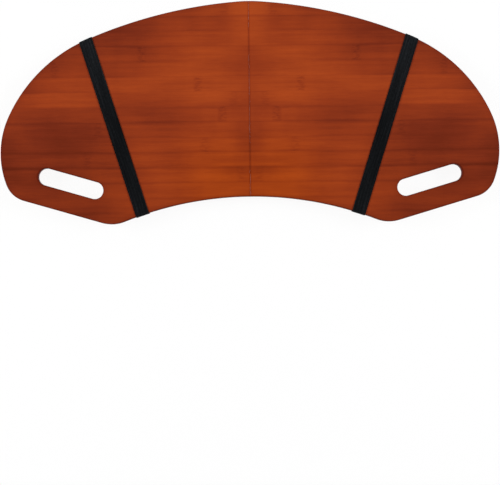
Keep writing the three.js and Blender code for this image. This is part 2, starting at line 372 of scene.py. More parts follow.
def bamboo_strips():
    group, given, result = new_group(
        "bamboo_strips", {"Along": 0.0, "Across": 0.0, "Lower face": 0.0},
        ["Tone", "Joint", "Fibre", "Streak", "Pores", "Stepped", "Strip centre"])
    lower = given["Lower face"]
    along = calc(group, "MULTIPLY_ADD", lower, LOWER_ALONG, given["Along"])
    wander = stretched_noise(group, along, 9, given["Across"], 1)
    across = calc(group, "ADD", given["Across"], around_zero(group, wander, JOINT_WANDER))
    across = calc(group, "MULTIPLY_ADD", lower, LOWER_ACROSS, across)
    count = calc(group, "DIVIDE", calc(group, "SUBTRACT", across, FIRST_JOINT), STRIP_WIDTH)
    whole = calc(group, "FLOOR", count)
    strip = calc(group, "MULTIPLY_ADD", lower, LOWER_STRIPS, whole)
    centre = calc(group, "MULTIPLY_ADD", whole, STRIP_WIDTH, FIRST_JOINT)
    centre = calc(group, "ADD", centre, STRIP_WIDTH / 2)
    away = calc(group, "SUBTRACT", across, centre)

    joint = calc(group, "ROUND", count)
    gap = calc(group, "ABSOLUTE", calc(group, "SUBTRACT", count, joint))
    gap = calc(group, "MULTIPLY", gap, STRIP_WIDTH)
    weight = calc(group, "MULTIPLY_ADD", chance_of(group, joint), 1 - FAINTEST_JOINT, FAINTEST_JOINT)
    amount = fade(group, stretched_noise(group, along, 11, joint, 5.3), *JOINT_ALONG)
    glue = fade(group, gap, GLUE_LINE, 0.0, 0.0, GLUE_WEIGHT)
    line = calc(group, "ADD", fade(group, gap, JOINT_FADE, 0.0), glue)

    drift = stretched_noise(group, along, 10, strip, 3.7, detail=4.0)
    tint = around_zero(group, chance_of(group, strip), STRIP_TINT)

    def grain(along_scale, across_scale):
        return stretched_noise(group, along, along_scale, across, across_scale, strip, 4.0)

    fibre = calc(group, "ADD", grain(22, 800), grain(90, 900))
    thin_streak = calc(group, "MULTIPLY", grain(10, 230), 0.5)
    streak = calc(group, "MULTIPLY_ADD", grain(8, 110), 1.5, thin_streak)
    made = {
        "Tone": calc(group, "ADD", tint, around_zero(group, drift, STRIP_DRIFT)),
        "Joint": calc(group, "MULTIPLY", line, calc(group, "MULTIPLY", weight, amount)),
        "Fibre": calc(group, "SUBTRACT", fibre, 1.0),
        "Streak": calc(group, "SUBTRACT", streak, 1.0),
        "Pores": fade(group, grain(45, 2400), *PORE_SPAN),
        "Stepped": calc(group, "MULTIPLY_ADD", away, 1 - STEP_SHARE, centre),
        "Strip centre": centre,
    }
    for title, value in made.items():
        group.links.new(value, result[title])
    return group


BAMBOO_STRIPS = bamboo_strips()
print("strip group of", len(BAMBOO_STRIPS.nodes), "nodes")

# %% [markdown]
# ## Stained bamboo: clouds, node scars and the finish
# The boards are darker at the shoulders and round the grips, and brighter near the fold. Each bamboo
# strip also shows a scar where the cane had a node. Random noise would put these just anywhere, so
# the main ones are placed one by one, as soft patches in millimetres from the fold line and from the
# middle of the desk. The rim value darkens the rounded edges with stain gathered there and painted shade.

# %% Clouds and node scars
TONE_CLOUDS = [
    # distance from fold, place towards back, half length, half height, how much brighter
    (0, 150, 48, 74, 0.23),
    (110, 165, 70, 40, -0.14),
    (195, 118, 105, 50, -0.35),
    (185, 62, 95, 22, -0.12),
    (310, 92, 110, 50, -0.32),
    (345, 40, 60, 60, -0.20),
    (110, 48, 260, 50, 0.16),
    (95, 85, 65, 20, 0.09),
    (45, 36, 65, 32, 0.13),
    (290, 22, 140, 34, 0.07),
    (165, -8, 110, 40, -0.22),
    (300, -56, 180, 84, -0.40),
    (75, 106, 110, 45, 0.08),
    (185, -70, 55, 40, -0.10),
    (110, -70, 45, 35, -0.09),
    (60, -58, 60, 60, 0.10),
    (0, -36, 34, 50, -0.12),
    (70, -106, 130, 24, 0.14),
    (30, -112, 70, 30, 0.08),
    (320, -126, 150, 56, -0.24),
    (110, -140, 70, 24, -0.12),
    (225, -155, 110, 40, -0.20),
    (368, -68, 45, 75, -0.18),
    (62, 150, 30, 22, 0.08),
    (145, 135, 24, 22, -0.07),
]
NODE_SCARS = [
    # distance from fold, place towards back, how dark
    (75, 41, 0.22),
    (40, -3, 0.22),
    (157, 85, 0.20),
    (35, 150, 0.14),
    (67, -47, 0.14),
    (23, 19, 0.10),
    (285, 63, 0.12),
    (222, -25, 0.14),
    (238, -70, 0.12),
    (13, -92, 0.12),
]
SCAR_HALF_LENGTH = 9
SCAR_HALF_HEIGHT = 14
SCAR_DASHES = (0.35, 0.65)


def sum_of_patches(tree, along, across, patches):
    total = 0.0
    for centre_along, centre_across, half_length, half_height, strength in patches:
        value = use_group(tree, SOFT_PATCH, {
            "Along": along, "Across": across,
            "Centre along": centre_along * MM, "Centre across": centre_across * MM,
            "Half length": half_length * MM, "Half height": half_height * MM, "Strength": strength})
        total = calc(tree, "ADD", total, value)
    return total


print(len(TONE_CLOUDS), "clouds and", len(NODE_SCARS), "node scars")

# %% Stain colours and shader
STAIN_STOPS = [
    # tone, colour of the stain at that tone
    (0.0, (0.112, 0.0130, 0.0037, 1)),
    (0.35, (0.195, 0.0245, 0.0075, 1)),
    (0.70, (0.305, 0.0410, 0.0091, 1)),
    (1.0, (0.420, 0.0635, 0.0112, 1)),
]


def stain_ramp(tree, tone):
    ramp = put(tree, "ShaderNodeValToRGB", {"Fac": tone})
    stops = ramp.color_ramp.elements
    stops.remove(stops[-1])
    for number, (position, colour) in enumerate(STAIN_STOPS):
        stop = stops.new(position) if number else stops[0]
        stop.position = position
        stop.color = colour
    return ramp.outputs["Color"]


def mix_colours(tree, share, first, second, blend="MIX"):
    inputs = {0: share, 6: first, 7: second}
    return put(tree, "ShaderNodeMix", inputs, data_type="RGBA", blend_type=blend).outputs[2]


def end_material(tree, colour, roughness, height, relief, fixed):
    """A bump and a Principled shader with its fixed values, led to the material's output."""
    strength, depth = relief
    bump = put(tree, "ShaderNodeBump", {"Height": height, "Strength": strength, "Distance": depth})
    shader = put(tree, "ShaderNodeBsdfPrincipled", {
        "Base Color": colour, "Roughness": roughness, "Normal": bump.outputs[0], **fixed})
    put(tree, "ShaderNodeOutputMaterial", {"Surface": shader.outputs[0]})


print("stain of", len(STAIN_STOPS), "tones")

# %% Stained bamboo material
BASE_TONE = 0.72
CLOUD_REACH = 0.14
GRAIN_GAINS = {"Fibre": 0.17, "Streak": 0.33, "Pores": -0.12, "Joint": -0.14}
SEAM_DARK = 0.25
SEAM_DARK_REACH = 2.8 * MM
# darker colour of the rounded edges and side walls: stain gathered there, and painted shade
EDGE_STAIN_AND_SHADE = (0.058, 0.0024, 0.0012, 1)
# a soft step: start, end, value before and value after
WARM_FRONT = (10 * MM, -100 * MM, 0.0, 1.0)
WARM_FOLD = (40 * MM, 150 * MM, 1.0, 0.3)
FRONT_TINT = (1.0, 0.97, 0.53, 1)
# strength and depth of the relief
PORE_RELIEF = (0.06, 0.1 * MM)
PORE_DEPTH = -0.5
COAT_ROUGHNESS = 0.12


def stained_bamboo(name, gloss_low, gloss_high, specular, coat):
    material = blank_material(name)
    tree = material.node_tree
    place = put(tree, "ShaderNodeTexCoord").outputs["Object"]
    split = put(tree, "ShaderNodeSeparateXYZ", {0: place}).outputs
    along = calc(tree, "ABSOLUTE", split["X"])
    across = split["Y"]
    lower = calc(tree, "LESS_THAN", split["Z"], BOARD_MIDDLE)
    upper = calc(tree, "SUBTRACT", 1.0, lower)
    strips = put(tree, "ShaderNodeGroup", {
        "Along": along, "Across": across, "Lower face": lower}, node_tree=BAMBOO_STRIPS).outputs
    clouds = stretched_noise(tree, along, 8, across, 16, lower, 4.0)
    tone = calc(tree, "ADD", BASE_TONE, around_zero(tree, clouds, CLOUD_REACH))
    tone = calc(tree, "ADD", tone, strips["Tone"])
    placed = sum_of_patches(tree, along, strips["Stepped"], TONE_CLOUDS)
    tone = calc(tree, "MULTIPLY_ADD", placed, upper, tone)
    scar_patches = [(x, y, SCAR_HALF_LENGTH, SCAR_HALF_HEIGHT, dark) for x, y, dark in NODE_SCARS]
    scar = sum_of_patches(tree, along, strips["Strip centre"], scar_patches)
    dashes = stretched_noise(tree, along, 120, across, 420)
    scar = calc(tree, "MULTIPLY", scar, fade(tree, dashes, *SCAR_DASHES))
    tone = calc(tree, "SUBTRACT", tone, calc(tree, "MULTIPLY", scar, upper))
    for title, gain in GRAIN_GAINS.items():
        tone = calc(tree, "MULTIPLY_ADD", strips[title], gain, tone)
    tone = calc(tree, "SUBTRACT", tone, fade(tree, along, SEAM_DARK_REACH, 0.0, 0.0, SEAM_DARK))
    warmth = calc(tree, "MULTIPLY", fade(tree, across, *WARM_FRONT), fade(tree, along, *WARM_FOLD))
    stain = mix_colours(tree, warmth, stain_ramp(tree, tone), FRONT_TINT, "MULTIPLY")
    rim = put(tree, "ShaderNodeAttribute", attribute_name="rim").outputs["Fac"]
    gloss = use_group(tree, FINE_VARIATION, {
        "Vector": place, "Scale": 60.0, "Low": gloss_low, "High": gloss_high})
    height = calc(tree, "MULTIPLY_ADD", strips["Pores"], PORE_DEPTH, strips["Fibre"])
    # the rim value mixes in the darker edge colour, gathered stain and painted shade
    end_material(tree, mix_colours(tree, rim, stain, EDGE_STAIN_AND_SHADE), gloss, height, PORE_RELIEF, {
        "Specular IOR Level": specular, "Coat Weight": coat, "Coat Roughness": COAT_ROUGHNESS})
    return material


STAINED_FACE = stained_bamboo(
    "stained_bamboo", gloss_low=0.20, gloss_high=0.25, specular=0.5, coat=0.35)
STAINED_EDGE = stained_bamboo(
    "stained_bamboo_edge", gloss_low=0.30, gloss_high=0.38, specular=0.06, coat=0.0)
print("bamboo of", len(STAINED_FACE.node_tree.nodes), "nodes")

# %% [markdown]
# ## The board's edge
# The edge is a chain of smooth arcs: over the crown and the back, round the shoulder, the side and
# the corner, straight along the wrist edge, round the nose and along the hollow front. It could be
# traced as a curve object, but walking along it with a heading gives every point and the outward
# direction there in one go, which the rounded edge and the straps both need.

# %% Walk along the board's edge
SEAM_HALF_GAP = 0.3
EDGE_ARCS = [(200, 4), (695, 19), (224, 42.3), (129.5, 45.2)]
CORNER_RADIUS = 38
WRIST_EDGE = 119
WRIST_SLOPE = 16.4
NOSE_RADIUS = 51
FRONT_TURN = 21.5
EDGE_STEP = 2.5
BUTT_GAP = 0.02


class EdgeWalk:
    """Points along the right-hand board's edge in mm, each with the direction out of the board."""

    def __init__(self, x, y):
        self.points = [Vector((x, y))]
        self.outward = [Vector((0, 1))]
        self.heading = 0.0

    def side(self):
        return Vector((-math.sin(self.heading), math.cos(self.heading)))

    def arc(self, radius, degrees):
        """A turn to the right, or to the left where the radius and the angle are negative."""
        centre = self.points[-1] - radius * self.side()
        turn = math.radians(degrees)
        steps = max(6, math.ceil(radius * turn / EDGE_STEP))
        for step in range(steps):
            self.heading -= turn / steps
            self.outward.append(self.side())
            self.points.append(centre + radius * self.side())

    def line(self, length):
        ahead = Vector((math.cos(self.heading), math.sin(self.heading)))
        start = self.points[-1]
        steps = math.ceil(length / EDGE_STEP)
        for step in range(steps):
            self.points.append(start + ahead * (length * (step + 1) / steps))
            self.outward.append(self.side())


edge = EdgeWalk(SEAM_HALF_GAP, CROWN / MM)
for radius, sweep in EDGE_ARCS:
    edge.arc(radius, sweep)
edge.arc(CORNER_RADIUS, 180 - WRIST_SLOPE + math.degrees(edge.heading))
wrist_start = edge.points[-1]
edge.line(WRIST_EDGE)
wrist_middle = (wrist_start + edge.points[-1]) / 2
edge.arc(NOSE_RADIUS, WRIST_SLOPE + FRONT_TURN)
front_radius = (edge.points[-1].x - SEAM_HALF_GAP) / math.sin(math.radians(FRONT_TURN))
edge.arc(-front_radius, -FRONT_TURN)
for end in (edge.points[0], edge.points[-1]):
    end.x = BUTT_GAP
print("edge of", len(edge.points), "points; front radius", round(front_radius, 1), "mm")

# %% [markdown]
# ## The grip slot's edge
# Each board has a rounded slot to carry it by, parallel to the wrist edge. A boolean cut would
# work, but its rim could not be rounded cleanly afterwards. So the slot is a closed row of points
# with directions into the wood, and it gets its rounded rim in the same way as the outer edge.

# %% Grip slot
SLOT_LENGTH = 98
SLOT_WIDTH = 25
SLOT_WEB = 30.5
SLOT_END_STEPS = 24


def slot_edge():
    """Points round the slot in mm, each with the direction into the wood."""
    slope = math.radians(WRIST_SLOPE)
    lengthways = Vector((math.cos(slope), math.sin(slope)))
    inwards = Vector((-lengthways.y, lengthways.x))
    radius = SLOT_WIDTH / 2
    centre = wrist_middle + inwards * (SLOT_WEB + radius)
    points = []
    for end in (1, -1):
        middle = centre + end * (SLOT_LENGTH / 2 - radius) * lengthways
        for step in range(SLOT_END_STEPS + 1):
            angle = math.pi * (step / SLOT_END_STEPS - 0.5)
            way = end * (math.cos(angle) * lengthways + math.sin(angle) * inwards)
            points.append((middle + radius * way, way))
    return points


slot = slot_edge()
print("slot of", len(slot), "points")

# %% [markdown]
# ## The boards
# Each board is 8 mm thick with edges rounded to 2 mm, except along the fold, where it is cut square
# so that the halves butt. A bevel on a flat slab would leave uneven strips at the tight corners, so
# the rounding is swept: the same short profile is set at every edge point. The flat faces are then
# filled in between, and a fine bevel takes the sharpness off the square cut. A rim value on the
# face corners tells the finish where to darken the edges with gathered stain and painted shade.

# %% Sweep the board
EDGE_ROUND = 2
FLAT_MARGIN = 8
ROUND_STEPS = 7
EASED_CUT = 0.15
# rim values set how much of the darker edge colour shows: gathered stain and painted shade
CUT_RIM = 0.8
FACE_RIM = 0.15
FLAT_RIM = 0.10
FLAT_RIM_WIDTH = 0.5
ROUND_RIM = 0.2
ROUND_RIM_RISE = 0.7


def edge_profile():
    """Rows of (distance in from the edge in mm, height in m, rim value) over the rounded edge."""
    above = [(FLAT_MARGIN, WORK_FACE, 0.0), (EDGE_ROUND + FLAT_RIM_WIDTH, WORK_FACE, FLAT_RIM)]
    for step in range(ROUND_STEPS + 1):
        angle = math.pi / 2 * step / ROUND_STEPS
        inset = EDGE_ROUND * (1 - math.sin(angle))
        height = WORK_FACE - EDGE_ROUND * (1 - math.cos(angle)) * MM
        above.append((inset, height, ROUND_RIM + ROUND_RIM_RISE * step / ROUND_STEPS))
    below = [(inset, UNDERSIDE + WORK_FACE - height, rim) for inset, height, rim in reversed(above)]
    return above + below


def swept_rows(shape, rims, edge_points, sign):
    """The profile's vertices at every edge point; the direction points out of the wood."""
    rows = []
    for point, outward in edge_points:
        row = []
        for inset, height, rim in edge_profile():
            spot = (point - inset * outward) * MM
            vertex = shape.verts.new((sign * spot.x, spot.y, height))
            rims[vertex] = rim
            row.append(vertex)
        rows.append(row)
    return rows


def join_rows(shape, rows, closed):
    pairs = zip(rows, rows[1:] + rows[:1]) if closed else zip(rows, rows[1:])
    for here, there in pairs:
        for low in range(len(here) - 1):
            shape.faces.new((here[low], here[low + 1], there[low + 1], there[low]))


def fill_flat(shape, outline, holes):
    """Triangles over a flat outline of vertices with holes in it."""
    loops = [outline, *holes]
    everything = [vertex for loop in loops for vertex in loop]
    for corners in tessellate_polygon([[vertex.co for vertex in loop] for loop in loops]):
        shape.faces.new([everything[corner] for corner in corners])


def board_shape(sign):
    shape = bmesh.new()
    rims = {}
    edge_rows = swept_rows(shape, rims, zip(edge.points, edge.outward), sign)
    slot_rows = swept_rows(shape, rims, [(point, -into) for point, into in slot], sign)
    join_rows(shape, edge_rows, closed=False)
    join_rows(shape, slot_rows, closed=True)
    for level in (0, -1):
        fill_flat(shape, [row[level] for row in edge_rows], [[row[level] for row in slot_rows]])
    cut = shape.faces.new(edge_rows[0] + edge_rows[-1][::-1])
    layer = shape.loops.layers.float.new("rim")
    for face in shape.faces:
        face.material_index = int(face == cut or min(rims[vertex] for vertex in face.verts) > FACE_RIM)
        for corner in face.loops:
            corner[layer] = CUT_RIM if face == cut else rims[corner.vert]
    return shape


print("edge profile of", len(edge_profile()), "rows")

# %% [markdown]
# A mesh from code still has to become a piece of the desk: its faces are turned outwards and
# shaded smooth with the sharp edges kept. It then rides on its body and stands in for its solid.
# Every piece needs this, so it is said once here.

# %% Finish a piece
SHARP_ANGLE = math.radians(40)


def make_piece(name, shape, *materials):
    bmesh.ops.recalc_face_normals(shape, faces=shape.faces)
    mesh = bpy.data.meshes.new(name)
    shape.to_mesh(mesh)
    shape.free()
    mesh.shade_smooth()
    mesh.set_sharp_from_angle(angle=SHARP_ANGLE)
    for material in materials:
        mesh.materials.append(material)
    return put_in_scene(name, mesh)


def ease_edges(piece, width, segments, angle, material=-1):
    """Round off the edges that are sharper than the angle; -1 keeps the material beside them."""
    bevel = piece.modifiers.new("eased_edges", "BEVEL")
    bevel.width = width * MM
    bevel.segments = segments
    bevel.limit_method = "ANGLE"
    bevel.angle_limit = math.radians(angle)
    bevel.use_clamp_overlap = True
    bevel.material = material


def settle(piece, body, finish, *solids):
    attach(piece, body)
    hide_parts(*solids)
    print(piece.name, "with", len(piece.data.polygons), "faces on", body)


print("edges over", round(math.degrees(SHARP_ANGLE)), "degrees stay sharp")

# %% Make both boards
for side, sign in SIDES.items():
    board = make_piece(side + "_bamboo_board", board_shape(sign), STAINED_FACE, STAINED_EDGE)
    ease_edges(board, EASED_CUT, segments=3, angle=60, material=1)
    settle(board, side + "_half", "stained_bamboo", side + "_board")

# %% [markdown]
# ## Elastic webbing
# The straps are ribbed black elastic: cords of rubber run lengthways under a tight matt weave, and
# fine weft rows cross them. The ribs themselves are modelled further down, because they show on the
# strap's outline. The material adds the weave, which follows the strap round the board on its own
# UV map, laid out in metres, so that the rows keep their true size everywhere.

# %% Elastic webbing material
WEFT_PITCH = 0.9 * MM
WEFT_SHARE = 0.35
FUZZ_SHARE = 0.25
MOTTLE_STRETCH = 0.22
LEAST_MATT = 0.78
MATT_RANGE = 0.12
WEAVE_RELIEF = (0.5, 0.08 * MM)
# paler black: the weave's lighter threads, and the painted sheen towards the strap's back and front
WEAVE_AND_SHEEN_BLACK = (0.0188, 0.0207, 0.0236, 1)
DEEP_BLACK = (0.0013, 0.0015, 0.0018, 1)
# the first two soft steps below paint a sheen: the strap paler towards the back and a little at the front
# a soft step: start, end, value before and value after
BACK_SHEEN = (-40 * MM, 125 * MM, 0.48, 1.12)
FRONT_SHEEN = (-70 * MM, -160 * MM, 0.0, 0.22)
STREAK_FADE = (0.4, 0.7, 0.0, 0.5)


def elastic_webbing():
    material = blank_material("elastic_webbing")
    tree = material.node_tree
    layout = put(tree, "ShaderNodeUVMap", uv_map="webbing").outputs["UV"]
    split = put(tree, "ShaderNodeSeparateXYZ", {0: layout}).outputs
    weft_turn = calc(tree, "MULTIPLY", split["Y"], 2 * math.pi / WEFT_PITCH)
    weft = calc(tree, "MULTIPLY_ADD", calc(tree, "SINE", weft_turn), 0.5, 0.5)
    fuzz = use_group(tree, FINE_VARIATION, {"Vector": layout, "Scale": 900.0, "Low": 0.0, "High": 1.0})
    lengthways = vector_of(tree, split["X"], calc(tree, "MULTIPLY", split["Y"], MOTTLE_STRETCH))
    mottle = use_group(
        tree, FINE_VARIATION, {"Vector": lengthways, "Scale": 1200.0, "Low": 0.5, "High": 1.5})
    long_streak = stretched_noise(tree, split["X"], 700, split["Y"], 16, detail=3.0)
    weave = calc(tree, "MULTIPLY_ADD", weft, WEFT_SHARE, calc(tree, "MULTIPLY", fuzz, FUZZ_SHARE))
    weave = calc(tree, "ADD", weave, fade(tree, long_streak, *STREAK_FADE))
    place = put(tree, "ShaderNodeTexCoord").outputs["Object"]
    towards_back = put(tree, "ShaderNodeSeparateXYZ", {0: place}).outputs["Y"]
    # painted sheen: paler towards the back and a little paler at the front
    painted_sheen = calc(
        tree, "ADD", fade(tree, towards_back, *BACK_SHEEN), fade(tree, towards_back, *FRONT_SHEEN))
    amount = calc(tree, "MULTIPLY", calc(tree, "MULTIPLY", weave, mottle), painted_sheen)
    matt = calc(tree, "MULTIPLY_ADD", fuzz, MATT_RANGE, LEAST_MATT)
    end_material(tree, mix_colours(tree, amount, DEEP_BLACK, WEAVE_AND_SHEEN_BLACK), matt, weave, WEAVE_RELIEF, {
        "Specular IOR Level": 0.08, "Sheen Weight": 0.02, "Sheen Roughness": 0.4})
    return material


ELASTIC_WEBBING = elastic_webbing()
print("webbing of", len(ELASTIC_WEBBING.node_tree.nodes), "nodes")

# %% [markdown]
# ## The straps: where they run
# Each strap is one length of webbing that goes round its board at a slant and is sewn to itself under
# the board. The board's edge is curved, so the strap's two edges leave it at different places. For
# every thread across the strap, a line along the strap is cut with the edge walk to find both ends.
# A shrinkwrap would do nearly the same, but would let the strap slip round the corners. The elastic
# pulls tight, so only a few hundredths of a millimetre keep it off the wood.

# %% Lines along the strap
STRAP_WIDTH = 20
STRAP_THICKNESS = 1
STRAP_FIT = 0.04
STRAP_OFFSET = 205
STRAP_LEAN = math.radians(17.5)
LAP_LENGTH = 24
LAP_FROM_MIDDLE = 70
STRAP_ALONG = Vector((math.sin(STRAP_LEAN), math.cos(STRAP_LEAN)))
STRAP_ACROSS = Vector((math.cos(STRAP_LEAN), -math.sin(STRAP_LEAN)))
STRAP_MIDDLE = Vector((STRAP_OFFSET, 0))


def strap_span(offset):
    """How far a line along the strap runs to the front edge and to the back edge, in mm."""
    start = STRAP_MIDDLE + offset * STRAP_ACROSS
    beside = [STRAP_ACROSS.dot(point - start) for point in edge.points]
    onward = [STRAP_ALONG.dot(point - start) for point in edge.points]
    crossings = []
    for here in range(len(beside) - 1):
        if beside[here] * beside[here + 1] <= 0 and beside[here] != beside[here + 1]:
            share = beside[here] / (beside[here] - beside[here + 1])
            crossings.append(onward[here] + share * (onward[here + 1] - onward[here]))
    return min(crossings), max(crossings)


print("middle thread from", [round(reach, 1) for reach in strap_span(0)], "mm")

# %% [markdown]
# ## The straps: path and section
# The path starts at the inner end of the lap, runs back under the board, up and over it, down at the
# front and then under its own beginning, where the second layer steps away from the first. The
# section is a flat band with round edges and ribs on the outer side. Sweeping the section along
# the path gives every rib as real geometry and closes the strap at both ends.

# %% Path of one thread and section of the strap
LAP_STEP_LENGTH = 7
LAP_PLY_GAP = 0.05
RUN_STEPS = 40
TURN_STEPS = 8
RIB_PITCH = 1.6
RIB_DEPTH = 0.12
RIB_SAMPLES = 8
ROUND_EDGE_STEPS = 6
INNER_STEPS = 16


def run_between(start, end, steps):
    return [start + (end - start) * step / steps for step in range(steps + 1)]


def thread_path(offset):
    """Places round the board's section: (along, height, outward along, outward up, lift) in mm."""
    front, back = strap_span(offset)
    under, top = UNDERSIDE / MM, WORK_FACE / MM
    lap_front = -LAP_FROM_MIDDLE - LAP_LENGTH / 2
    lap_back = -LAP_FROM_MIDDLE + LAP_LENGTH / 2
    path = [(along, under, 0, -1, 0) for along in run_between(lap_front, back - EDGE_ROUND, RUN_STEPS)]
    turns = [(back - EDGE_ROUND, under + EDGE_ROUND, -90), (back - EDGE_ROUND, top - EDGE_ROUND, 0),
             (front + EDGE_ROUND, top - EDGE_ROUND, 90), (front + EDGE_ROUND, under + EDGE_ROUND, 180)]
    for corner, (along, height, first) in enumerate(turns):
        for angle in run_between(math.radians(first), math.radians(first + 90), TURN_STEPS):
            way = (math.cos(angle), math.sin(angle))
            path.append((along + EDGE_ROUND * way[0], height + EDGE_ROUND * way[1], *way, 0))
        if corner == 1:
            over = run_between(back - EDGE_ROUND, front + EDGE_ROUND, 2 * RUN_STEPS)[1:-1]
            path += [(along, top, 0, 1, 0) for along in over]
    for along in run_between(front + EDGE_ROUND, lap_back, RUN_STEPS)[1:]:
        rise = min(1, max(0, (along - lap_front + LAP_STEP_LENGTH) / LAP_STEP_LENGTH))
        lift = (STRAP_THICKNESS + LAP_PLY_GAP) * rise * rise * (3 - 2 * rise)
        path.append((along, under, 0, -1, lift))
    return path


def strap_section():
    """Points round the band in mm: (across, height over the board), ribbed on the outer side."""
    half, round_off = STRAP_WIDTH / 2, STRAP_THICKNESS / 2
    flat = half - round_off
    ribs = round(2 * flat / RIB_PITCH)
    section = []
    for across in run_between(-flat, flat, ribs * RIB_SAMPLES):
        wave = math.cos(2 * math.pi * ribs * (across + flat) / (2 * flat))
        section.append((across, STRAP_THICKNESS - RIB_DEPTH * (0.5 - 0.5 * wave)))
    for angle in run_between(math.pi / 2, -math.pi / 2, ROUND_EDGE_STEPS)[1:-1]:
        section.append((flat + round_off * math.cos(angle), round_off + round_off * math.sin(angle)))
    section += [(across, 0) for across in run_between(flat, -flat, INNER_STEPS)]
    for angle in run_between(-math.pi / 2, -3 * math.pi / 2, ROUND_EDGE_STEPS)[1:-1]:
        section.append((round_off * math.cos(angle) - flat, round_off + round_off * math.sin(angle)))
    return section


print("section of", len(strap_section()), "points, path of", len(thread_path(0)), "places")

# %% [markdown]
# ## The straps: mesh
# Every point of the section gets its own path, because each thread meets the curved edge a little
# further on than its neighbour. The points are joined into a tube of quads, the two ends are closed,
# and the UV map is written at the same time: across the strap in one direction, along it in the other.

# %% Make both straps
def strap_shape(sign):
    shape = bmesh.new()
    layout = shape.loops.layers.uv.new("webbing")
    columns = []
    for across, height in strap_section():
        column = []
        for along, level, way_along, way_up, lift in thread_path(across):
            off = STRAP_FIT + height + lift
            spot = STRAP_MIDDLE + across * STRAP_ACROSS + (along + off * way_along) * STRAP_ALONG
            place = Vector((sign * spot.x, spot.y, level + off * way_up)) * MM
            column.append(shape.verts.new(place))
        columns.append(column)
    travelled = [0.0]
    for here, there in zip(columns[0], columns[0][1:]):
        travelled.append(travelled[-1] + (there.co - here.co).length)
    measure = [across * MM for across, height in strap_section()]
    following = columns[1:] + columns[:1]
    for number, (column, other) in enumerate(zip(columns, following)):
        next_number = (number + 1) % len(columns)
        for step in range(len(column) - 1):
            face = shape.faces.new((column[step], column[step + 1], other[step + 1], other[step]))
            marks = ((number, step), (number, step + 1), (next_number, step + 1), (next_number, step))
            for corner, (across, along) in zip(face.loops, marks):
                corner[layout].uv = (measure[across], travelled[along])
    for end in (0, -1):
        shape.faces.new([column[end] for column in columns])
    print("webbing cut to", round(travelled[-1] / MM), "mm by", STRAP_WIDTH, "mm")
    return shape


for side, sign in SIDES.items():
    strap = make_piece(side + "_elastic_strap", strap_shape(sign), ELASTIC_WEBBING)
    settle(strap, side + "_half", "elastic_webbing", side + "_strap")

# %% [markdown]
# ## The sewn lap
# A box with a cross in it, the usual seam on straps, holds the lap. Each stitch is a short bow of
# thread whose ends dive into the webbing. Repeating one stitch along a line is what Geometry Nodes do
# best: the lines are resampled to the stitch length and one bow is set on every point, turned
# along the line. The tree has its sizes as named inputs, and its result is turned into a plain mesh.

# %% Sewing thread material
THREAD_BLACKS = ((0.008, 0.009, 0.010, 1), (0.022, 0.024, 0.026, 1))
THREAD_RELIEF = (0.4, 0.05 * MM)
LEAST_LUSTRE = 0.45
LUSTRE_RANGE = 0.2


def sewing_thread():
    material = blank_material("sewing_thread")
    tree = material.node_tree
    place = put(tree, "ShaderNodeTexCoord").outputs["Object"]
    twist = use_group(tree, FINE_VARIATION, {"Vector": place, "Scale": 2500.0, "Low": 0.0, "High": 1.0})
    roughness = calc(tree, "MULTIPLY_ADD", twist, LUSTRE_RANGE, LEAST_LUSTRE)
    end_material(tree, mix_colours(tree, twist, *THREAD_BLACKS), roughness, twist, THREAD_RELIEF, {
        "Specular IOR Level": 0.3})
    return material


SEWING_THREAD = sewing_thread()
print("thread material", SEWING_THREAD.name)

# %% Helpers for geometry trees
def geometry_tree(name, inputs):
    """A tree with a geometry input and output and named inputs; gives the tree and its ends."""
    tree = bpy.data.node_groups.new(name, "GeometryNodeTree")
    tree.interface.new_socket("Geometry", in_out="INPUT", socket_type="NodeSocketGeometry")
    for title, kind in inputs.items():
        tree.interface.new_socket(title, in_out="INPUT", socket_type=kind)
    tree.interface.new_socket("Geometry", in_out="OUTPUT", socket_type="NodeSocketGeometry")
    return tree, put(tree, "NodeGroupInput").outputs, put(tree, "NodeGroupOutput").inputs


def end_tree(tree, given, result, instances):
    """Make the instances real, shade them smooth and give them their material."""
    real = put(tree, "GeometryNodeRealizeInstances", {0: instances})
    smooth = put(tree, "GeometryNodeSetShadeSmooth", {0: real.outputs[0]})
    dressed = put(tree, "GeometryNodeSetMaterial", {
        "Geometry": smooth.outputs[0], "Material": given["Material"]})
    tree.links.new(dressed.outputs[0], result[0])


def grown_from(name, places, edges, tree, values):
    """A plain mesh piece that the tree grows from points and edges in the frame."""
    seed_mesh = bpy.data.meshes.new(name + "_places")
    seed_mesh.from_pydata(places, edges, [])
    seed = put_in_scene(name + "_places", seed_mesh)
    growth = seed.modifiers.new("growth", "NODES")
    growth.node_group = tree
    for item in tree.interface.items_tree:
        if item.in_out == "INPUT" and item.name in values:
            growth[item.identifier] = values[item.name]
    bpy.context.view_layer.update()
    grown = bpy.data.meshes.new_from_object(
        seed.evaluated_get(bpy.context.evaluated_depsgraph_get()))
    grown.name = name
    seed.modifiers.remove(growth)
    bpy.data.objects.remove(seed)
    return put_in_scene(name, grown)


print("geometry helpers ready")

# %% Tree of stitches
THREAD_DIAMETER = 0.4
STITCH_PITCH = 2.7
STITCH_LENGTH = 2.3
BOW_RISE = 1.4


